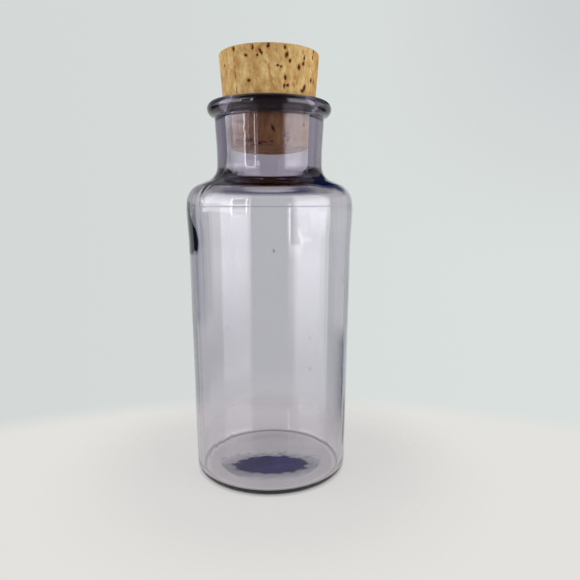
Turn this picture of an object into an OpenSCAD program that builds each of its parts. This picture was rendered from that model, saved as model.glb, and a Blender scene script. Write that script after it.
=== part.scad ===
// Apothecary bottle: one hollow moulded glass piece, a tapered cork stopper
// and a thin crust of dried residue on the inside of its floor. Millimetres,
// Z up, the bottle's axis on Z and its resting ring on Z = 0.

/* [Body] */
// Outside diameter at the top of the body, its widest place
body_d = 60.6; // [50:0.2:74]
// Height from the table to the mould seam round the shoulder
body_h = 100.3; // [80:0.5:124]
// How much narrower the foot is than the top of the body, on the diameter
body_taper = 2.6; // [1:0.2:4]
// How far the last stretch under the seam swells out, on the diameter
swell = 0.8; // [0.2:0.1:1.4]
// Thickness of the body wall
wall = 1.7; // [1.2:0.1:2.6]
// Thickness of the floor above the resting ring
floor_t = 1.8; // [1.5:0.1:3.4]
// Rise of the shallow hollow under the base
kick_up = 0.5; // [0.3:0.1:0.8]
// Radius of the outside heel
heel_round = 2.6; // [2:0.1:3.4]
// Radius of the inside corner between floor and wall
floor_round = 1.2; // [0.8:0.1:5]
// Width of the flat ring the bottle rests on
foot_w = 2.4; // [1.6:0.1:3.2]

/* [Shoulder] */
// Radius of the rounded shoulder
shoulder_round = 7.3; // [5.5:0.1:9]
// Slope of the shoulder above that, in degrees from level
shoulder_slope = 22.3; // [15:0.5:30]
// Radius where the shoulder turns up into the neck
neck_fillet = 5.7; // [3:0.1:7]
// How far the mould seam stands proud of the body
seam_h = 0.12; // [0.06:0.01:0.2]

/* [Neck and lip] */
// Outside diameter of the neck at its narrowest
neck_d = 38.1; // [36:0.1:41]
// Height from the mould seam to the top of the lip
neck_h = 36.2; // [31:0.2:44]
// Flare of the neck below the lip, on the diameter
neck_flare = 1.2; // [0.4:0.1:2]
// How far the lip stands out from the neck, all round
lip_out = 2.65; // [2:0.05:3.2]
// Radius of the lip's upper edge
lip_upper = 2.4; // [1.6:0.1:3.2]
// Radius of the lip's lower edge
lip_lower = 2.8; // [2:0.1:3.6]
// Thickness of the neck's wall just under the lip
neck_wall = 4.7; // [4.6:0.1:5.6]
// Narrowing of the bore from the mouth to the foot of the neck, on the diameter
bore_taper = 1.9; // [0.6:0.1:3]
// Radius of the rounding inside the mouth
mouth_round = 2.9; // [2:0.1:2.9]

/* [Cork] */
// Length of the cork
cork_l = 33.1; // [27:0.1:39]
// How far the cork stands out of the mouth
cork_out = 16.3; // [13:0.1:19]
// How much wider the cork's free end is than the bore, on the diameter
cork_over = 5.8; // [5:0.1:8]
// Narrowing of the cork's free part, on the diameter for each mm of length
cork_taper = 0.17; // [0.08:0.01:0.2]
// Rounding of the cork's top edge
cork_edge = 0.8; // [0.4:0.1:1.4]

/* [Residue] */
// Width of the crust, side to side
residue_w = 33; // [20:0.5:34]
// Depth of the crust, front to back
residue_d = 18; // [12:0.5:22]
// How far in front of the floor's middle the crust lies
residue_ahead = 7.5; // [0:0.5:8]
// Thickness of the crust
residue_t = 0.3; // [0.2:0.05:0.6]

/* [Clearances] */
// Radial gap between the cork and the bore
cork_gap = 0.06; // [0.03:0.01:0.12]

/* [Hidden] */
$fn = 96;

body_r = body_d / 2;
swell_r = body_r - swell / 2;
foot_r = body_r - body_taper / 2 - swell / 2;
top_z = body_h + neck_h;
arc_z = body_h + 0.7;

ring_out_r = foot_r - heel_round;
ring_in_r = ring_out_r - foot_w;
kick_r = (ring_in_r * ring_in_r + kick_up * kick_up) / (2 * kick_up);

neck_r = neck_d / 2;
neck_top_r = neck_r + neck_flare / 2;
lip_r = neck_top_r + lip_out;
lip_z = top_z - lip_upper;
lip_top_r = lip_r - lip_upper;
lip_in_r = lip_r - lip_lower;
under_z = lip_z - sqrt(pow(lip_lower, 2) - pow(neck_top_r - lip_in_r, 2));

bore_top_r = neck_top_r - neck_wall;
bore_low_r = bore_top_r - bore_taper / 2;
mouth_z = top_z - mouth_round;
in_body_r = body_r - wall;
in_foot_r = foot_r - wall;
flat_r = in_foot_r - floor_round;
in_round = shoulder_round - wall;
in_slope = shoulder_slope - 8;

cork_low_z = top_z + cork_out - cork_l;
cork_top_z = top_z + cork_out;
cork_r = bore_top_r + cork_over / 2;
cork_wide_z = top_z + 1.9;
cork_wide_r = cork_r - cork_taper / 2 * (cork_top_z - cork_wide_z);

// The end of the rounded shoulder, where the slope begins.
function slope_start(r, round, slope) =
    [r - round + round * sin(slope), arc_z + round * cos(slope)];

// The centre of the arc that turns a slope up into a neck of radius n.
function turn_centre(r, round, slope, n, turn) =
    let (s = slope_start(r, round, slope))
    let (x = n + turn - turn * sin(slope))
    [n + turn, s[1] + (s[0] - x) * tan(slope) + turn * cos(slope)];

// The end of the slope, where that arc begins.
function slope_end(r, round, slope, n, turn) =
    turn_centre(r, round, slope, n, turn) - turn * [sin(slope), cos(slope)];

// The largest turn that leaves a tenth of the slope straight.
function turn_limit(start, slope, n) = 0.9 * (start[0] - n) / (1 - sin(slope));

out_start = slope_start(body_r, shoulder_round, shoulder_slope);
out_fillet = min(neck_fillet, turn_limit(out_start, shoulder_slope, neck_r));
out_end = slope_end(body_r, shoulder_round, shoulder_slope, neck_r, out_fillet);
out_turn = turn_centre(body_r, shoulder_round, shoulder_slope, neck_r, out_fillet);
in_start = slope_start(in_body_r, in_round, in_slope);
in_fillet = min(out_fillet + 1.3, turn_limit(in_start, in_slope, bore_low_r));
in_end = slope_end(in_body_r, in_round, in_slope, bore_low_r, in_fillet);
in_turn = turn_centre(in_body_r, in_round, in_slope, bore_low_r, in_fillet);

// Radius of the bore at height z in the neck.
function bore_r(z) =
    bore_low_r + (bore_top_r - bore_low_r) * (z - in_turn[1]) / (mouth_z - in_turn[1]);

// Edge of the crust: an oval with ragged waves on it.
function ragged(a) =
    1 - 0.07 * pow(sin(2.5 * a + 20), 2) - 0.045 * pow(sin(5.5 * a), 2)
    - 0.03 * pow(sin(11.5 * a + 50), 2);

module outline() {
    difference() {
        union() {
            polygon([
                [0, 0],
                [ring_out_r, 0],
                [foot_r, heel_round],
                [swell_r, 0.86 * body_h],
                [body_r, 0.965 * body_h],
                [body_r, arc_z],
                out_start,
                out_end,
                [neck_r, out_turn[1]],
                [neck_r, out_turn[1] + 0.5 * (under_z - out_turn[1])],
                [neck_top_r, under_z],
                [neck_top_r, lip_z],
                [min(neck_top_r, lip_top_r), top_z],
                [0, top_z]
            ]);
            translate([ring_out_r, heel_round])
                circle(r = heel_round);
            translate([body_r - shoulder_round, arc_z])
                circle(r = shoulder_round);
            translate([body_r - 0.25 + seam_h, body_h])
                circle(r = 0.25);
            lip();
        }
        translate(out_turn)
            circle(r = out_fillet);
    }
}

// The lip's upper and lower edges, each a quarter round with a flat inside it.
module lip() {
    intersection() {
        translate([lip_top_r, lip_z])
            circle(r = lip_upper);
        translate([lip_top_r, lip_z])
            square([lip_upper + 1, lip_upper + 1]);
    }
    translate([lip_top_r - lip_out, lip_z])
        square([lip_out, lip_upper]);
    intersection() {
        translate([lip_in_r, lip_z])
            circle(r = lip_lower);
        translate([lip_in_r, lip_z - lip_lower])
            square([lip_lower + 1, lip_lower]);
    }
    translate([lip_in_r - lip_out, lip_z - lip_lower])
        square([lip_out, lip_lower]);
}

module hollow() {
    difference() {
        union() {
            polygon([
                [0, floor_t],
                [flat_r, floor_t],
                [in_foot_r, floor_t + floor_round],
                [in_body_r - swell / 2, 0.86 * body_h],
                [in_body_r, 0.965 * body_h],
                [in_body_r, arc_z],
                in_start,
                in_end,
                [bore_low_r, in_turn[1]],
                [bore_top_r, mouth_z],
                [bore_top_r + mouth_round, top_z],
                [bore_top_r + mouth_round, top_z + 1],
                [0, top_z + 1]
            ]);
            translate([flat_r, floor_t + floor_round])
                circle(r = floor_round);
            translate([in_body_r - in_round, arc_z])
                circle(r = in_round);
        }
        translate(in_turn)
            circle(r = in_fillet);
        translate([bore_top_r + mouth_round, mouth_z])
            circle(r = mouth_round);
    }
}

module kick() {
    intersection() {
        translate([0, kick_up - kick_r])
            circle(r = kick_r);
        translate([0, -1])
            square([ring_in_r + 1, kick_up + 2]);
    }
}

module bottle() {
    color([0.72, 0.70, 0.78, 0.35])
        rotate_extrude()
            difference() {
                outline();
                hollow();
                kick();
            }
}

module cork() {
    color([0.72, 0.55, 0.36])
        rotate_extrude()
            union() {
                polygon([
                    [0, cork_low_z],
                    [bore_r(cork_low_z) - cork_gap - 0.4, cork_low_z],
                    [bore_r(cork_low_z + 0.4) - cork_gap, cork_low_z + 0.4],
                    [bore_top_r - cork_gap, mouth_z],
                    [bore_top_r - cork_gap, mouth_z + 0.35 * mouth_round],
                    [bore_top_r + 0.35 * mouth_round, top_z],
                    [cork_wide_r, cork_wide_z],
                    [cork_r, cork_top_z - cork_edge],
                    [cork_r - cork_edge, cork_top_z],
                    [0, cork_top_z]
                ]);
                translate([cork_r - cork_edge, cork_top_z - cork_edge])
                    circle(r = cork_edge);
            }
}

module dried_residue() {
    color([0.12, 0.10, 0.28])
        translate([0, 0, floor_t])
            linear_extrude(height = residue_t)
                intersection() {
                    translate([0, -residue_ahead])
                        polygon([
                            for (a = [0 : 4 : 356])
                                ragged(a) / 2 * [residue_w * cos(a), residue_d * sin(a)]
                        ]);
                    circle(r = flat_r);
                }
}

bottle();
cork();
dried_residue();
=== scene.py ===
"""A corked apothecary bottle of old moulded glass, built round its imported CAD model."""
import math
import random

import bmesh
import bpy
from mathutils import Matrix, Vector, noise


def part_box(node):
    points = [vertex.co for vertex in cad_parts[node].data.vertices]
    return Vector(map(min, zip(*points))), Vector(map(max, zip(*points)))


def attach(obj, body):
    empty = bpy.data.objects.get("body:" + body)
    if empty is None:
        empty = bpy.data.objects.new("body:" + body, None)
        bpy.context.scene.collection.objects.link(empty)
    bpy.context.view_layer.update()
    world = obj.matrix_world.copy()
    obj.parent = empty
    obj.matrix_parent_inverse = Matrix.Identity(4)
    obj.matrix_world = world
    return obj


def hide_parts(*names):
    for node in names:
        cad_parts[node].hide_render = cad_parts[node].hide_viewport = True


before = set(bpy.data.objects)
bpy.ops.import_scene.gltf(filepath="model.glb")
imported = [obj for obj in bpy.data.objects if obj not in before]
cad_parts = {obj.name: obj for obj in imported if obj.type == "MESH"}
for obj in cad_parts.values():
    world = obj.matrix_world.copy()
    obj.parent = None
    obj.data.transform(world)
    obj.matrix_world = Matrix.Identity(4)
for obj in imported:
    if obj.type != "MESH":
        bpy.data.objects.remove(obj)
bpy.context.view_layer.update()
scene = bpy.context.scene

# ---------------------------------------------------------------- camera
# The view is from about 20 cm in front of the bottle, a little above its
# middle. It looks slightly down, and slightly to the right of the bottle.
MM = 0.001
LOOK_DOWN = 9.18
LOOK_RIGHT = 2.31
camera_data = bpy.data.cameras.new("camera")
camera_data.sensor_width = 36
camera_data.lens = 34.57
camera_data.clip_start = 0.01
camera = bpy.data.objects.new("camera", camera_data)
camera.location = (-0.97 * MM, -208.55 * MM, 102.2 * MM)
camera.rotation_euler = (math.radians(90 - LOOK_DOWN), 0, math.radians(-LOOK_RIGHT))
scene.collection.objects.link(camera)
scene.camera = camera


# ---------------------------------------------------------------- bottle
# One piece of old glass, blown in a mould with a tapered body, a seam round
# the shoulder and two short seams up it. The neck was drawn in, and its lip
# is a thick rolled ring. The glass has gone faintly violet.
def new_piece(name, mesh_edit, body, cad_node=None):
    """A mesh object from a finished bmesh, riding on a body of the frame."""
    mesh = bpy.data.meshes.new(name)
    mesh_edit.to_mesh(mesh)
    mesh_edit.free()
    mesh.shade_smooth()
    piece = bpy.data.objects.new(name, mesh)
    scene.collection.objects.link(piece)
    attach(piece, body)
    if cad_node:
        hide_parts(cad_node)
    return piece


def spread(start, stop, steps):
    """Evenly spaced numbers from start to stop, both included."""
    return [start + (stop - start) * i / steps for i in range(steps + 1)]


def arc(centre, radius, start, stop, steps):
    """Points on an arc in the (r, z) half plane, angles in degrees."""
    turn = [math.radians(degrees) for degrees in spread(start, stop, steps)]
    return [(centre[0] + radius * math.cos(a), centre[1] + radius * math.sin(a)) for a in turn]


def line(start, stop, steps):
    """Points between two others, without the first and the last."""
    return list(zip(spread(start[0], stop[0], steps), spread(start[1], stop[1], steps)))[1:-1]


def smooth(value, low, high):
    """0 below low, 1 above high, and a smooth ramp between."""
    t = min(max((value - low) / (high - low), 0), 1)
    return t * t * (3 - 2 * t)


def spun(outline, steps):
    """A closed solid of revolution about Z from an outline that begins and ends on the axis."""
    made = bmesh.new()
    points = [made.verts.new((r * MM, 0, z * MM)) for r, z in outline]
    edges = [made.edges.new(pair) for pair in zip(points, points[1:])]
    bmesh.ops.spin(
        made,
        geom=points + edges,
        axis=(0, 0, 1),
        cent=(0, 0, 0),
        angle=math.tau,
        steps=steps,
        use_merge=True,
    )
    bmesh.ops.remove_doubles(made, verts=made.verts, dist=1e-6)
    bmesh.ops.recalc_face_normals(made, faces=made.faces)
    return made


def cad_heights(node):
    """The lowest and the highest point of a CAD node, in mm."""
    low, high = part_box(node)
    return round(low[2] / MM, 2), round(high[2] / MM, 2)


# Sizes of the glass in mm, and the shoulder's slope in degrees. The flare and
# the taper are on the radius.
TOP_Z = cad_heights("bottle")[1]
FLOOR_Z = cad_heights("dried_residue")[0]
SEAM_Z = 100.3
FOOT_R = 28.6
BODY_R = 30.3
NECK_R = 19.05
NECK_FLARE = 0.6
LIP_R = 22.3
BORE_R = 14.95
BORE_TAPER = 0.95
WALL = 1.7
KICK_R = 23.6
KICK_UP = 0.5
HEEL_ROUND = 2.6
FLOOR_ROUND = 1.2
SHOULDER_ROUND = 7.3
SHOULDER_SLOPE = 22.3
NECK_FILLET = 5.7
LIP_LOWER = 2.8
LIP_UPPER = 2.4
MOUTH_ROUND = 2.9
RING_R = FOOT_R - HEEL_ROUND
FLAT_R = FOOT_R - WALL - FLOOR_ROUND
LIP_Z = TOP_Z - LIP_UPPER
MOUTH_Z = TOP_Z - MOUTH_ROUND


def side_r(z):
    """Radius of the body at height z: an even taper, then a swell under the seam."""
    return FOOT_R + 1.27 * z / 88 + 0.43 * smooth(z, 84, 99)


def shoulder_turn(start_r, arc_r, slope, neck_r, turn_r):
    """The shoulder's round, its slope and the turn up into the neck, as points."""
    lean = math.radians(slope)
    arc_z = SEAM_Z + 0.7
    edge = (start_r - arc_r + arc_r * math.sin(lean), arc_z + arc_r * math.cos(lean))
    end_r = neck_r + turn_r - turn_r * math.sin(lean)
    end_z = edge[1] + (edge[0] - end_r) * math.tan(lean)
    centre = (neck_r + turn_r, end_z + turn_r * math.cos(lean))
    return (
        arc((start_r - arc_r, arc_z), arc_r, 0, 90 - slope, 16)
        + line(edge, (end_r, end_z), 5)
        + arc(centre, turn_r, 270 - slope, 180, 14)
    )


outer_turn = shoulder_turn(BODY_R, SHOULDER_ROUND, SHOULDER_SLOPE, NECK_R, NECK_FILLET)
inner_turn = shoulder_turn(
    BODY_R - WALL, SHOULDER_ROUND - WALL, SHOULDER_SLOPE - 8, BORE_R - BORE_TAPER, NECK_FILLET + 1.3
)
kick = [(r, KICK_UP * (1 - (r / KICK_R) ** 2)) for r in spread(0, KICK_R, 12)[:-1]]
ring = line((KICK_R, 0), (RING_R, 0), 4)
heel = arc((RING_R, HEEL_ROUND), HEEL_ROUND, -90, 0, 12)[:-1]
body_side = [(side_r(z), z) for z in spread(HEEL_ROUND, SEAM_Z - 1, 60)]
seam_ridge = [
    (BODY_R + out, SEAM_Z + up)
    for up, out in ((-0.45, 0), (-0.2, 0.08), (0, 0.13), (0.2, 0.08), (0.45, 0))
]
neck_side = [(NECK_R + NECK_FLARE * smooth(z, 118, 132), z) for z in spread(115, 131.2, 16)]
lip_under = arc((LIP_R - LIP_LOWER, LIP_Z), LIP_LOWER, -80, 0, 12)[1:]
lip_over = arc((LIP_R - LIP_UPPER, LIP_Z), LIP_UPPER, 0, 90, 16)[1:]
mouth = arc((BORE_R + MOUTH_ROUND, MOUTH_Z), MOUTH_ROUND, 90, 180, 12)
bore = line((BORE_R, MOUTH_Z), inner_turn[-1], 24)
inner_side = [(side_r(z) - WALL, z) for z in spread(98, 3, 56)]
floor_turn = arc((FLAT_R, FLOOR_Z + FLOOR_ROUND), FLOOR_ROUND, 0, -90, 10)[1:]
floor = [(r, FLOOR_Z) for r in spread(FLAT_R, 0, 12)[1:]]

outline = (
    kick
    + ring
    + heel
    + body_side
    + seam_ridge
    + outer_turn
    + neck_side
    + lip_under
    + lip_over
    + mouth
    + bore
    + inner_turn[::-1]
    + inner_side
    + floor_turn
    + floor
)
glass_mesh = spun(outline, 320)

# The hand of the blower: slow waves and fine upright streaks in both faces,
# more in the inner one, which no mould touched, a fold inside the left of the
# shoulder, turned ripples round the tooled neck, and the mould's two seams,
# which stand out most on the shoulder. Angles go round from the front.
SEAM_ANGLES = (-51.5, 128.5)
FOLD_ANGLE = -84
STREAK_ANGLE = -42


def wave(out, z, turns, length, seed):
    """Smooth waves, with this many round the bottle and this length in mm up it."""
    return noise.noise(Vector((out.x * turns, out.y * turns, z / length + seed)))


def neck_ripple(angle, z):
    """Ripples of the neck, a tool's track wide."""
    drift = 0.9 * noise.noise(Vector((angle * 0.03, z * 0.12, 4)))
    strength = 0.5 + noise.noise(Vector((angle * 0.05, z * 0.08, 9)))
    return math.sin((z / 2.5 + drift) * math.tau) * max(strength, 0)


def streak_strength(angle):
    """How much stronger the streaks are here: most on the left of the front."""
    return 1 + 1.5 * math.exp(-(((angle - STREAK_ANGLE) / 22) ** 2))


def inner_push(out, angle, z):
    """How far the inner face comes in, in mm: waves, streaks and the fold."""
    push = 0.08 * wave(out, z, 1.7, 40, 5) + 0.035 * wave(out, z, 5, 28, 2)
    push += 0.018 * streak_strength(angle) * wave(out, z, 16, 90, 7)
    push *= smooth(z, 6, 16) * (1 - 0.9 * smooth(z, 112, 118))
    fold = smooth(z, 83, 87) * (1 - smooth(z, 97, 102))
    fold_width = 31 - 20 * smooth(z, 87, 101)
    return push + 0.9 * fold * (1 - smooth(abs(angle - FOLD_ANGLE), 4, fold_width))


def outer_push(out, angle, z, r):
    """How far the outer face stands out, in mm: waves, streaks, ripples and seams."""
    push = 0.03 * wave(out, z, 2.5, 30, 9)
    push += 0.009 * streak_strength(angle) * wave(out, z, 20, 120, 3)
    push *= smooth(z, 3, 12) * (1 - smooth(z, 131, 133))
    push += 0.032 * neck_ripple(angle, z) * smooth(z, 116, 119) * (1 - smooth(z, 130, 132))
    on_shoulder = smooth(z, SEAM_Z, SEAM_Z + 1.5)
    seam_height = 0.3 * on_shoulder * (1 - smooth(z, 111, 116))
    seam_height += 0.03 * smooth(z, 4, 10) * (1 - on_shoulder)
    for seam_angle in SEAM_ANGLES:
        away = (angle - seam_angle + 180) % 360 - 180
        push += seam_height * math.exp(-((math.radians(away) * r / 0.4) ** 2))
    return push


for v in glass_mesh.verts:
    r = math.hypot(v.co.x, v.co.y) / MM
    z = v.co.z / MM
    if r < 1 or z < 0.02:
        continue
    out = Vector((v.co.x, v.co.y, 0)).normalized()
    angle = math.degrees(math.atan2(out.x, -out.y))
    if v.normal.dot(out) < -0.2 and (r > 20 or z > 104):
        v.co -= out * inner_push(out, angle, z) * MM
    else:
        v.co += v.normal * outer_push(out, angle, z, r) * MM

# Seeds: small air bubbles caught in the wall, drawn tall as the glass was
# blown. Each has its angle, its height and its radius in mm.
seeds = random.Random(7)
BUBBLES = [(2, 86, 0.35), (62, 74, 0.3), (60, 75, 0.22), (70, 91, 0.25), (-30, 60, 0.2)]
BUBBLES += [
    (seeds.uniform(-180, 180), seeds.uniform(12, 96), seeds.uniform(0.08, 0.22)) for _ in range(26)
]
for angle, z, size in BUBBLES:
    made = bmesh.ops.create_icosphere(glass_mesh, subdivisions=2, radius=size * MM)["verts"]
    r = side_r(z) - WALL / 2 + seeds.uniform(-0.4, 0.4)
    bmesh.ops.scale(glass_mesh, verts=made, vec=(1, 1, seeds.uniform(1.2, 2.2)))
    turn = math.radians(angle)
    bmesh.ops.translate(
        glass_mesh, verts=made, vec=(r * MM * math.sin(turn), -r * MM * math.cos(turn), z * MM)
    )
    around = {face for v in made for face in v.link_faces}
    bmesh.ops.reverse_faces(glass_mesh, faces=list(around))

bottle = new_piece("bottle_glass", glass_mesh, "bottle_body", "bottle")


def new_material(name):
    """A node material with its shader and output, ready for more nodes."""
    material = bpy.data.materials.new(name)
    material.use_nodes = True
    nodes = material.node_tree.nodes
    return material, nodes, material.node_tree.links, nodes["Principled BSDF"]


def add_noise(nodes, links, coords, scale, detail=4, rough=0.5, stretch=(1, 1, 1)):
    """A noise pattern on Object coordinates, stretched along the axes."""
    mapping = nodes.new("ShaderNodeMapping")
    mapping.inputs["Scale"].default_value = stretch
    texture = nodes.new("ShaderNodeTexNoise")
    texture.inputs["Scale"].default_value = scale
    texture.inputs["Detail"].default_value = detail
    texture.inputs["Roughness"].default_value = rough
    links.new(coords.outputs["Object"], mapping.inputs["Vector"])
    links.new(mapping.outputs["Vector"], texture.inputs["Vector"])
    return texture.outputs["Fac"]


def add_ramp(nodes, links, source, stops):
    """A colour ramp with these (place, colour) stops."""
    ramp = nodes.new("ShaderNodeValToRGB")
    elements = ramp.color_ramp.elements
    while len(elements) < len(stops):
        elements.new(0.5)
    for element, (place, colour) in zip(elements, stops):
        element.position = place
        element.color = (*colour, 1)
    links.new(source, ramp.inputs["Fac"])
    return ramp.outputs["Color"]


glass, nodes, links, shader = new_material("old_violet_glass")
coords = nodes.new("ShaderNodeTexCoord")
shader.inputs["Base Color"].default_value = (1, 1, 1, 1)
shader.inputs["IOR"].default_value = 1.52
shader.inputs["Transmission Weight"].default_value = 1
haze = add_noise(nodes, links, coords, 60, 6, 0.6, (1, 1, 0.35))
links.new(
    add_ramp(nodes, links, haze, [(0.45, (0.0, 0.0, 0.0)), (0.8, (0.05, 0.05, 0.05))]),
    shader.inputs["Roughness"],
)
bump = nodes.new("ShaderNodeBump")
bump.inputs["Distance"].default_value = 0.00004
bump.inputs["Strength"].default_value = 0.35
links.new(add_noise(nodes, links, coords, 140, 2, 0.5, (1, 1, 0.3)), bump.inputs["Height"])
links.new(bump.outputs["Normal"], shader.inputs["Normal"])
tint = nodes.new("ShaderNodeVolumeAbsorption")
tint.inputs["Color"].default_value = (0.54, 0.47, 0.58, 1)
tint.inputs["Density"].default_value = 200
links.new(tint.outputs["Volume"], nodes["Material Output"].inputs["Volume"])
bottle.data.materials.append(glass)


# ---------------------------------------------------------------- cork
# A natural cork, punched out of bark and tapered, so that its growth lines
# run up it. The neck squeezes its lower half, which swells out over the
# mouth. Its pores are dark brown and crumbly, most of them on one side.
CORK_FOOT_Z, CORK_TOP_Z = cad_heights("cork")
CORK_FOOT_R = 14.13
CORK_EDGE = 0.8
FOOT_SLANT = 0.065


def squeezed_r(z):
    """Radius of the cork in the neck, where it follows the bore's taper."""
    return CORK_FOOT_R + (z - CORK_FOOT_Z - 0.4) * 0.0545


def free_r(z):
    """Radius of the cork from the mouth up: a swell, then an even taper."""
    return 14.92 + 1.52 * smooth(z, 134.2, 138.7) + 0.085 * max(z - TOP_Z, 0)


edge_z = CORK_TOP_Z - CORK_EDGE
cork_outline = [(r, CORK_FOOT_Z) for r in spread(0, 13.7, 24)]
cork_outline += [(14.0, CORK_FOOT_Z + 0.15)]
cork_outline += [(squeezed_r(z), z) for z in spread(CORK_FOOT_Z + 0.4, 134.6, 58)]
cork_outline += [(free_r(z), z) for z in spread(134.9, edge_z, 70)]
cork_outline += arc((17.0, edge_z), CORK_EDGE, 12, 90, 5)
cork_outline += [(r, CORK_TOP_Z) for r in spread(16.7, 0, 34)[1:]]
cork_mesh = spun(cork_outline, 420)
pore_layer = cork_mesh.verts.layers.float.new("pore")
stain_layer = cork_mesh.verts.layers.float.new("stain")

# Pores: angle round from the front, height, half width and half height in
# mm, lean in degrees. The hollows are black-brown, with a rusty edge.
PORES = [
    (-42, 151.6, 0.5, 0.5, 30), (-18, 151.3, 0.28, 0.8, 0), (-26, 149, 0.6, 0.35, 30),
    (-10, 150.2, 0.35, 0.7, -25), (-13, 148.8, 0.3, 0.35, 0), (-8, 149.4, 0.2, 0.4, 10),
    (-1, 151.8, 0.35, 0.9, 10), (17, 151.4, 0.35, 0.55, -15), (19, 149.1, 0.5, 0.8, 5),
    (23, 147.3, 0.32, 0.5, 0), (35, 145.8, 0.55, 0.75, 0), (41, 147.2, 0.4, 0.6, 10),
    (42, 149, 0.25, 0.7, 0), (58, 151.8, 0.3, 0.7, -10), (57, 149.9, 0.3, 0.5, 0),
    (73, 149.2, 0.4, 1, -10), (9, 145.7, 0.35, 0.3, -30), (13, 145.4, 0.3, 0.3, 0),
    (-24, 141.2, 0.5, 0.5, -15), (18, 142.1, 0.35, 0.75, -10), (17, 139.5, 0.3, 0.7, 0),
    (21, 139.7, 0.4, 0.45, 30), (45, 139.6, 0.5, 0.9, 20), (42, 138.5, 0.8, 0.4, 10),
    (57, 142.6, 0.4, 0.6, 0), (64, 142.4, 0.3, 0.6, 0), (-61, 147.3, 0.4, 0.3, 0),
    (-75, 144, 0.3, 0.9, 15), (4, 126, 0.3, 1, -25), (22, 124.5, 0.45, 0.35, 0),
    (19, 123.8, 0.25, 0.4, 10), (23, 123, 0.4, 0.6, 0), (22, 121.7, 0.4, 0.7, -10),
    (46, 127.6, 0.35, 0.45, 0), (39, 126.6, 0.15, 0.2, 0), (37, 124.7, 0.15, 0.2, 0),
    (68, 122, 0.5, 0.9, 0), (2, 121, 0.5, 0.25, 10), (-8, 120.9, 0.9, 0.22, 18),
    (-13, 120.3, 0.7, 0.3, 10), (-26, 122, 0.8, 0.7, 0), (-33, 122.8, 0.35, 0.5, 0),
]
bark = random.Random(21)
for _ in range(120):
    side = 180 + bark.choice((-62, -20, 25, 60)) + bark.gauss(0, 18)
    height = bark.uniform(120.5, 152.2)
    half_width = bark.uniform(0.15, 0.5)
    half_height = bark.uniform(0.2, 0.9)
    PORES.append((side, height, half_width, half_height, bark.uniform(-25, 25)))
# Rusty stains with no hollow: a crooked line of them and two soft clouds.
STAINS = [
    (-4, 146.6, 0.3, 0.5, -20), (-1, 145.5, 0.4, 0.9, 0), (0, 144.2, 0.3, 0.7, -10),
    (1, 142.4, 0.4, 0.9, -10), (2, 140.9, 0.5, 0.9, 0), (4, 139.6, 0.5, 0.7, -30),
    (6, 138.8, 1.0, 0.6, 0), (30, 142.4, 0.6, 0.7, 30), (29, 140.2, 0.5, 0.8, -20),
    (33, 141, 0.4, 0.9, 0), (40, 150.6, 0.5, 0.6, 0), (-24, 139.9, 0.25, 0.9, 0),
    (-10, 151.4, 0.4, 0.4, 20), (12, 140.8, 0.2, 0.8, 0), (7, 141, 0.15, 0.8, 0),
]
# Upright splits along the growth lines: angle, half width, lowest and highest.
SPLITS = [
    (-42, 0.16, 119, 153), (-52, 0.1, 143, 148), (-28, 0.1, 149.5, 153), (104, 0.2, 119, 153),
    (160, 0.16, 119, 153), (-130, 0.2, 130, 153), (-160, 0.14, 119, 140),
]


def by_height(marks):
    """The marks that reach each whole millimetre of height."""
    shelf = {z: [] for z in range(115, 158)}
    for mark in marks:
        for z in range(int(mark[1]) - 2, int(mark[1]) + 4):
            if z in shelf:
                shelf[z].append(mark)
    return shelf


PORE_SHELF = by_height(PORES)
STAIN_SHELF = by_height(STAINS)


def nearest_reach(shelf, angle, z, r):
    """How far the nearest mark on the shelf is, in its own half widths, up to 4."""
    best = 4
    for mark_angle, mark_z, half_w, half_h, lean in shelf[int(z)]:
        across = ((angle - mark_angle + 180) % 360 - 180) * math.pi / 180 * r
        if abs(across) > 2.5:
            continue
        tilt = math.radians(lean)
        up = z - mark_z
        u = across * math.cos(tilt) - up * math.sin(tilt)
        w = across * math.sin(tilt) + up * math.cos(tilt)
        best = min(best, math.hypot(u / half_w, w / half_h))
    return best


def split_depth(angle, z, r):
    """How deep a split is here, from 0 to 1."""
    deep = 0
    for split_angle, width, low, high in SPLITS:
        if low < z < high:
            bend = 1.5 * noise.noise(Vector((split_angle, z * 0.15, 0)))
            across = ((angle - split_angle - bend + 180) % 360 - 180) * math.pi / 180 * r
            broken = smooth(noise.noise(Vector((split_angle, z * 0.45, 8))), -0.35, 0.15)
            deep = max(deep, broken * (1 - smooth(abs(across), width * 0.4, width * 2.2)))
    return deep


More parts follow.
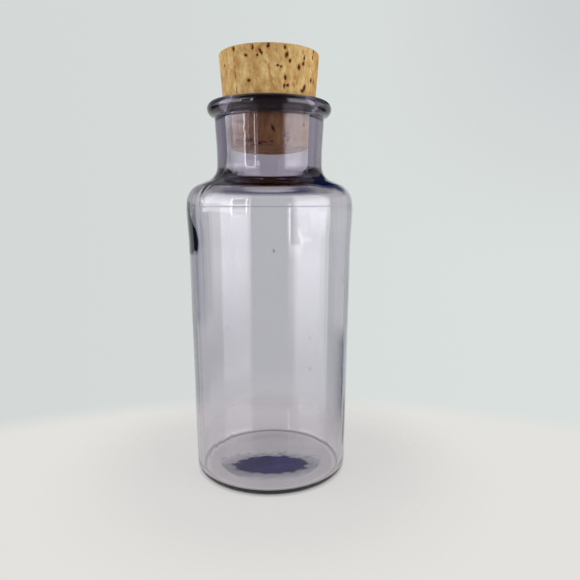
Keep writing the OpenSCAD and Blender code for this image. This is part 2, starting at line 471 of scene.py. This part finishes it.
# The side gets its marks where they are listed, 0.4 mm deep. In the neck it
# stays clear of the bore. The two ends are only crumbly, and the foot is cut a
# little askew, with its back edge the lower.
for v in cork_mesh.verts:
    r = math.hypot(v.co.x, v.co.y) / MM
    z = v.co.z / MM
    angle = math.degrees(math.atan2(v.co.x, -v.co.y))
    spot = v.co / MM
    crumble = noise.noise(spot * 1.9) + 0.6 * noise.noise(spot * 4.1)
    if r > 12.5 and CORK_FOOT_Z + 0.1 < z < CORK_TOP_Z - 0.1:
        reach = nearest_reach(PORE_SHELF, angle, z, r) + 0.45 * crumble
        rust = nearest_reach(STAIN_SHELF, angle, z, r) + 0.6 * crumble
        split = split_depth(angle, z, r)
        deep = 1 - smooth(reach, 0.7, 1.25)
        stain = max(1 - smooth(reach, 1.0, 2.3), 0.8 - smooth(rust, 0.5, 1.9), 0.75 * split)
        deep = max(deep, 0.45 * split * split)
        push = -0.4 * deep + 0.04 * noise.noise(spot * 0.6)
        if z < MOUTH_Z + 1.5:
            push = min(push - 0.02, 0.03)
    else:
        deep = smooth(noise.noise(spot * 0.5 + Vector((4, 4, 4))) + 0.2 * crumble, 0.42, 0.6)
        stain = smooth(noise.noise(spot * 0.45 + Vector((4, 4, 4))) + 0.2 * crumble, 0.2, 0.5)
        push = -0.35 * deep + 0.05 * noise.noise(spot * 0.9)
    v[pore_layer] = deep
    v[stain_layer] = max(stain, 0)
    v.co += v.normal * push * MM
    v.co.z -= FOOT_SLANT * v.co.y * (1 - smooth(z, CORK_FOOT_Z, 124))

cork = new_piece("cork_stopper", cork_mesh, "cork_body", "cork")

cork_skin, nodes, links, shader = new_material("natural_cork")
coords = nodes.new("ShaderNodeTexCoord")


def blend(nodes, links, factor, first, second, how="MIX"):
    """Two colours mixed; each is a socket or plain numbers, and so is the factor."""
    mix = nodes.new("ShaderNodeMix")
    mix.data_type = "RGBA"
    mix.blend_type = how
    for name, value in (("Factor", factor), ("A", first), ("B", second)):
        if isinstance(value, tuple):
            mix.inputs[name].default_value = (*value, 1)
        elif isinstance(value, (int, float)):
            mix.inputs[name].default_value = value
        else:
            links.new(value, mix.inputs[name])
    return mix.outputs["Result"]


def attribute(nodes, name):
    """A vertex attribute as a number."""
    node = nodes.new("ShaderNodeAttribute")
    node.attribute_name = name
    return node.outputs["Fac"]


def height_band(nodes, links, coords, low, high):
    """0 below the height low, 1 above high, in mm; low may be the larger."""
    axes = nodes.new("ShaderNodeSeparateXYZ")
    band = nodes.new("ShaderNodeMapRange")
    band.interpolation_type = "SMOOTHSTEP"
    band.inputs["From Min"].default_value = low * MM
    band.inputs["From Max"].default_value = high * MM
    links.new(coords.outputs["Object"], axes.inputs["Vector"])
    links.new(axes.outputs["Z"], band.inputs["Value"])
    return band.outputs["Result"]


grain = add_noise(nodes, links, coords, 480, 5, 0.65, (1, 1, 0.5))
patches = add_noise(nodes, links, coords, 110, 4, 0.6, (1, 1, 0.5))
flecks = add_noise(nodes, links, coords, 1300, 3, 0.6, (1, 1, 0.6))
tan = add_ramp(
    nodes,
    links,
    grain,
    [(0.3, (0.41, 0.235, 0.070)), (0.5, (0.56, 0.37, 0.135)), (0.7, (0.72, 0.54, 0.24))],
)
warm = add_ramp(
    nodes,
    links,
    patches,
    [(0.36, (0.84, 0.70, 0.54)), (0.52, (1, 1, 1)), (0.68, (1.0, 1.0, 0.86))],
)
speckle = add_ramp(nodes, links, flecks, [(0.28, (0.62, 0.5, 0.36)), (0.42, (1, 1, 1))])
tone = blend(nodes, links, 1, blend(nodes, links, 1, tan, warm, "MULTIPLY"), speckle, "MULTIPLY")
rusty = blend(nodes, links, attribute(nodes, "stain"), tone, (0.42, 0.17, 0.035))
hollow = add_ramp(nodes, links, attribute(nodes, "pore"), [(0.12, (0, 0, 0)), (0.5, (1, 1, 1))])
pitted = blend(nodes, links, hollow, rusty, (0.075, 0.028, 0.009))
# Damp has browned the cork's lower half, and a painted shade turns it nearly
# black where the mouth grips it, for the dark gap between cork and glass. Each
# pair is the height where a band begins and the one where it is full.
GRIP_SHADE_FROM_BELOW = (128.5, 134)
GRIP_SHADE_FROM_ABOVE = (137.4, 136.2)
DAMP_FROM_ABOVE = (134, 131)
# Painted shade: the band where the mouth grips the cork, for the unlit gap there.
grip_shade = nodes.new("ShaderNodeMath")
grip_shade.operation = "MULTIPLY"
links.new(height_band(nodes, links, coords, *GRIP_SHADE_FROM_BELOW), grip_shade.inputs[0])
links.new(height_band(nodes, links, coords, *GRIP_SHADE_FROM_ABOVE), grip_shade.inputs[1])
damp = blend(nodes, links, 1, pitted, (1.1, 0.84, 0.64), "MULTIPLY")
wetted = height_band(nodes, links, coords, *DAMP_FROM_ABOVE)
pitted = blend(nodes, links, wetted, pitted, damp)
# The near-black colour is painted shade, not dirt.
shaded = blend(nodes, links, 1, pitted, (0.07, 0.03, 0.025), "MULTIPLY")
links.new(blend(nodes, links, grip_shade.outputs["Value"], pitted, shaded), shader.inputs["Base Color"])
shader.inputs["Roughness"].default_value = 0.8
shader.inputs["Specular IOR Level"].default_value = 0.3
bump = nodes.new("ShaderNodeBump")
bump.inputs["Distance"].default_value = 0.0002
bump.inputs["Strength"].default_value = 0.5
links.new(add_noise(nodes, links, coords, 1500, 3, 0.6), bump.inputs["Height"])
links.new(bump.outputs["Normal"], shader.inputs["Normal"])
cork.data.materials.append(cork_skin)


# ---------------------------------------------------------------- residue
# What the bottle last held has dried to a dark indigo crust on the floor, a
# little in front of its middle. It thins to a violet film, with a ragged edge
# and ripples where it shrank.
CRUST_W = 41
CRUST_D = 27
CRUST_GAP = 0.004
crust_mesh = bmesh.new()
bmesh.ops.create_grid(crust_mesh, x_segments=230, y_segments=150, size=0.5)
bmesh.ops.scale(crust_mesh, verts=crust_mesh.verts, vec=(CRUST_W * MM, CRUST_D * MM, 1))
bmesh.ops.translate(crust_mesh, verts=crust_mesh.verts, vec=(-0.4 * MM, -6 * MM, 0))
cover_layer = crust_mesh.verts.layers.float.new("cover")


def crust_cover(x, y):
    """How much the crust hides the glass, from 0 to 1."""
    reach = math.hypot((x + 0.4) / 15.6, (y + 7.5) / 8.2)
    spot = Vector((x * 0.6, y, 0))
    edge = 0.16 * noise.noise(spot * 0.5) + 0.1 * noise.noise(spot * 1.6)
    edge += 0.06 * noise.noise(spot * 4)
    solid = 1 - smooth(reach + edge, 0.82, 1.02)
    film = 0.36 * (1 - smooth(reach + 1.2 * edge, 0.9, 1.5))
    drift = 0.3 * smooth(noise.noise(spot * 0.8 + Vector((3, 1, 0))), 0.1, 0.5) * smooth(y, -8, 2)
    return max(solid, film + drift * (1 - smooth(reach, 1.2, 1.8)))


def crust_height(x, y, cover):
    """Thickness of the crust in mm, with ripples along its back part."""
    ripple = 0.06 * noise.noise(Vector((x * 0.3, y * 1.5, 5))) * smooth(y, -10, -4)
    return 0.02 + cover * (0.2 + ripple + 0.03 * noise.noise(Vector((x * 2, y * 2, 1))))


# The grid is cut back to where the crust covers the glass, then closed below.
bare = []
for v in crust_mesh.verts:
    x, y = v.co.x / MM, v.co.y / MM
    cover = crust_cover(x, y)
    if cover < 0.02 or math.hypot(x, y) > 20:
        bare.append(v)
    v[cover_layer] = cover
    v.co.z = (FLOOR_Z + 0.01 + crust_height(x, y, cover)) * MM
bmesh.ops.delete(crust_mesh, geom=bare, context="VERTS")
loose = [v for v in crust_mesh.verts if not v.link_faces]
bmesh.ops.delete(crust_mesh, geom=loose, context="VERTS")
rim = [e for e in crust_mesh.edges if e.is_boundary]
made = bmesh.ops.extrude_edge_only(crust_mesh, edges=rim)["geom"]
for v in [g for g in made if isinstance(g, bmesh.types.BMVert)]:
    v.co.z = (FLOOR_Z + CRUST_GAP) * MM
under = [e for e in crust_mesh.edges if e.is_boundary]
bmesh.ops.holes_fill(crust_mesh, edges=under, sides=0)
bmesh.ops.recalc_face_normals(crust_mesh, faces=crust_mesh.faces)
crust = new_piece("indigo_crust", crust_mesh, "bottle_body", "dried_residue")

crust_skin, nodes, links, shader = new_material("dried_indigo")
coords = nodes.new("ShaderNodeTexCoord")
mottle = add_noise(nodes, links, coords, 260, 6, 0.65, (0.5, 1.4, 1))
links.new(
    add_ramp(
        nodes,
        links,
        mottle,
        [(0.35, (0.004, 0.002, 0.10)), (0.55, (0.010, 0.006, 0.20)), (0.75, (0.06, 0.04, 0.36))],
    ),
    shader.inputs["Base Color"],
)
shader.inputs["Roughness"].default_value = 0.6
shader.inputs["Specular IOR Level"].default_value = 0.15
links.new(attribute(nodes, "cover"), shader.inputs["Alpha"])
bump = nodes.new("ShaderNodeBump")
bump.inputs["Distance"].default_value = 0.0003
bump.inputs["Strength"].default_value = 0.5
links.new(add_noise(nodes, links, coords, 700, 4, 0.6, (0.5, 1.6, 1)), bump.inputs["Height"])
links.new(bump.outputs["Normal"], shader.inputs["Normal"])
crust.data.materials.append(crust_skin)


# ---------------------------------------------------------------- studio
# A pale floor and a pale wall are all that the camera sees. The glass also
# mirrors and bends two soft lights, a lamp like a window frame on the left, a
# dim room, a dark ceiling, and a dark card and a dark edge at the far side.
FLOOR_TONE = (0.765, 0.758, 0.730)
SHADOW_TONE = (0.4, 0.395, 0.4)
SHADOW_REACH = 0.04
FADE_START = 0.04
FADE_END = 0.09
floor_edit = bmesh.new()
bmesh.ops.create_circle(floor_edit, cap_ends=True, radius=0.12, segments=96)
floor_mesh = bpy.data.meshes.new("studio_floor")
floor_edit.to_mesh(floor_mesh)
floor_edit.free()
studio_floor = bpy.data.objects.new("studio_floor", floor_mesh)
scene.collection.objects.link(studio_floor)
paper, nodes, links, shader = new_material("pale_floor")
shader.inputs["Base Color"].default_value = (0.86, 0.86, 0.83, 1)
shader.inputs["Roughness"].default_value = 0.6
shader.inputs["Specular IOR Level"].default_value = 0.2
glow = nodes.new("ShaderNodeEmission")
lit = nodes.new("ShaderNodeMixShader")
lit.inputs["Fac"].default_value = 0.72
links.new(shader.outputs["BSDF"], lit.inputs[1])
links.new(glow.outputs["Emission"], lit.inputs[2])
coords = nodes.new("ShaderNodeTexCoord")
length = nodes.new("ShaderNodeVectorMath")
length.operation = "LENGTH"
links.new(coords.outputs["Object"], length.inputs[0])

# Away from the bottle the floor clears, and the backdrop takes its place.
fade = nodes.new("ShaderNodeMapRange")
fade.interpolation_type = "SMOOTHSTEP"
fade.inputs["From Min"].default_value = FADE_START
fade.inputs["From Max"].default_value = FADE_END
links.new(length.outputs["Value"], fade.inputs["Value"])

# The floor glows, and a narrow grey ring on it is the shadow under the heel.
near = nodes.new("ShaderNodeMath")
near.operation = "MULTIPLY"
near.inputs[1].default_value = 1 / SHADOW_REACH
links.new(length.outputs["Value"], near.inputs[0])
shadow = add_ramp(
    nodes,
    links,
    near.outputs["Value"],
    [(0.62, FLOOR_TONE), (0.65, SHADOW_TONE), (0.68, SHADOW_TONE), (0.72, FLOOR_TONE)],
)
links.new(shadow, glow.inputs["Color"])
clear = nodes.new("ShaderNodeBsdfTransparent")
edge = nodes.new("ShaderNodeMixShader")
links.new(fade.outputs["Result"], edge.inputs["Fac"])
links.new(lit.outputs["Shader"], edge.inputs[1])
links.new(clear.outputs["BSDF"], edge.inputs[2])
links.new(edge.outputs["Shader"], nodes["Material Output"].inputs["Surface"])
studio_floor.data.materials.append(paper)

world = bpy.data.worlds.new("studio")
scene.world = world
world.use_nodes = True
nodes, links = world.node_tree.nodes, world.node_tree.links
nodes.clear()
coords = nodes.new("ShaderNodeTexCoord")
axes = nodes.new("ShaderNodeSeparateXYZ")
links.new(coords.outputs["Generated"], axes.inputs["Vector"])


def maths(operation, first, second=0.0):
    """One Math node on sockets or numbers."""
    node = nodes.new("ShaderNodeMath")
    node.operation = operation
    for slot, value in enumerate((first, second)):
        if isinstance(value, (int, float)):
            node.inputs[slot].default_value = value
        else:
            links.new(value, node.inputs[slot])
    return node.outputs["Value"]


def ramp(source, low, high, kind="SMOOTHSTEP"):
    """0 below low, 1 above high; low may be the larger."""
    node = nodes.new("ShaderNodeMapRange")
    node.interpolation_type = kind
    node.inputs["From Min"].default_value = low
    node.inputs["From Max"].default_value = high
    links.new(source, node.inputs["Value"])
    return node.outputs["Result"]


def between(source, low, high, low_soft, high_soft):
    """1 from low to high, with soft edges of these widths."""
    return maths(
        "MULTIPLY",
        ramp(source, low - low_soft / 2, low + low_soft / 2),
        ramp(source, high + high_soft / 2, high - high_soft / 2),
    )


# A direction in degrees: turn is 0 on the camera's side, behind is 0 on the
# far side, and both are 90 on the right and -90 on the left. Aside is behind
# without its sign, and rise is above the level.
toward = maths("MULTIPLY", axes.outputs["Y"], -1)
turn = maths("DEGREES", maths("ARCTAN2", axes.outputs["X"], toward))
rise = maths("DEGREES", maths("ARCSINE", axes.outputs["Z"]))
behind = maths("DEGREES", maths("ARCTAN2", axes.outputs["X"], axes.outputs["Y"]))
aside = maths("ABSOLUTE", behind)

# What the camera sees: the wall, greyer towards its upper right, and the floor.
rightward = ramp(axes.outputs["X"], -0.5, 0.5)
wall = blend(nodes, links, rightward, (0.655, 0.688, 0.676), (0.70, 0.744, 0.732))
corner = maths("MULTIPLY", ramp(axes.outputs["X"], 0.1, 0.55), ramp(rise, -8, 22))
backdrop = blend(nodes, links, corner, wall, (0.60, 0.61, 0.62))
backdrop = blend(nodes, links, ramp(rise, -19.6, -21.4), backdrop, FLOOR_TONE)

# What all else sees: the same wall, darker side walls, the floor, the dim room
# behind the camera, and above them a grey cornice, navy straight ahead, and a
# ceiling that is dark to the sides and behind.
side_wall = blend(nodes, links, 1, wall, (0.64, 0.64, 0.66), "MULTIPLY")
room = blend(nodes, links, ramp(aside, 18, 42), wall, side_wall)
room = blend(nodes, links, ramp(rise, -19, -24), room, FLOOR_TONE)
room = blend(nodes, links, between(behind, 38, 80, 10, 10), room, wall)
room = blend(nodes, links, ramp(aside, 105, 150), room, (0.17, 0.17, 0.21))
cornice_navy = between(behind, -6, 34, 16, 10)
cornice = blend(nodes, links, cornice_navy, (0.32, 0.31, 0.34), (0.015, 0.025, 0.10))
ceiling = blend(nodes, links, ramp(rise, 39, 45), cornice, (0.52, 0.50, 0.54))
ceiling = blend(nodes, links, ramp(aside, 60, 90), ceiling, (0.03, 0.035, 0.075))
room = blend(nodes, links, ramp(rise, 13, 20), room, ceiling)

# The two soft lights are brightest a little above the level.
FULL_LIGHT = (4.4, 4.4, 4.6)
HIGH_LIGHT = (0.8, 0.8, 0.85)
left_light = blend(nodes, links, ramp(rise, -16, -5), (0.2, 0.2, 0.22), (1.9, 1.9, 2.0))
left_light = blend(nodes, links, ramp(rise, -16, -20), left_light, (0.7, 0.7, 0.72))
left_light = blend(nodes, links, ramp(rise, 0, 5), left_light, FULL_LIGHT)
right_light = blend(nodes, links, ramp(rise, -24, 1, "LINEAR"), (0.5, 0.5, 0.52), FULL_LIGHT)


def lamp(turn_low, turn_high, low_soft, high_soft, rise_low, rise_high):
    """The patch of directions that a soft light fills."""
    return maths(
        "MULTIPLY",
        between(turn, turn_low, turn_high, low_soft, high_soft),
        between(rise, rise_low, rise_high, 6, 10),
    )


high = ramp(rise, 12, 44, "LINEAR")
left_light = blend(nodes, links, high, left_light, HIGH_LIGHT)
right_light = blend(nodes, links, high, right_light, HIGH_LIGHT)
room = blend(nodes, links, lamp(-103, -30, 2, 3, -26, 44), room, left_light)
room = blend(nodes, links, lamp(34, 89, 10, 2, -24, 44), room, right_light)

# Dark things that the glass mirrors or bends: a card on the left of the far
# side, and an edge low on its right.
dark_card = maths("MULTIPLY", between(behind, -90, -47, 3, 3), between(rise, -13, 0, 2, 2))
room = blend(nodes, links, dark_card, room, (0.035, 0.055, 0.12))
dark_edge = maths("MULTIPLY", between(behind, 40, 90, 4, 3), between(rise, -27, -14, 3, 3))
room = blend(nodes, links, dark_edge, room, (0.05, 0.06, 0.09))

# The lamp like a window frame: a bright tube round a dim pane.
outside = maths("MULTIPLY", between(turn, -54, -30.5, 0.4, 0.4), between(rise, -4, 26, 0.4, 0.4))
inside = maths("MULTIPLY", between(turn, -52, -32.5, 0.4, 0.4), between(rise, -2.4, 24, 0.4, 0.4))
tube = blend(nodes, links, ramp(rise, -3, 0), (4, 3.9, 4), (10, 9.6, 10))
room = blend(nodes, links, outside, room, tube)
room = blend(nodes, links, inside, room, (0.5, 0.5, 0.55))

path = nodes.new("ShaderNodeLightPath")
background = nodes.new("ShaderNodeBackground")
seen = blend(nodes, links, path.outputs["Is Camera Ray"], room, backdrop)
links.new(seen, background.inputs["Color"])
output = nodes.new("ShaderNodeOutputWorld")
links.new(background.outputs["Background"], output.inputs["Surface"])

scene.view_settings.view_transform = "Standard"
scene.cycles.max_bounces = 24
scene.cycles.transmission_bounces = 24
scene.cycles.transparent_max_bounces = 24
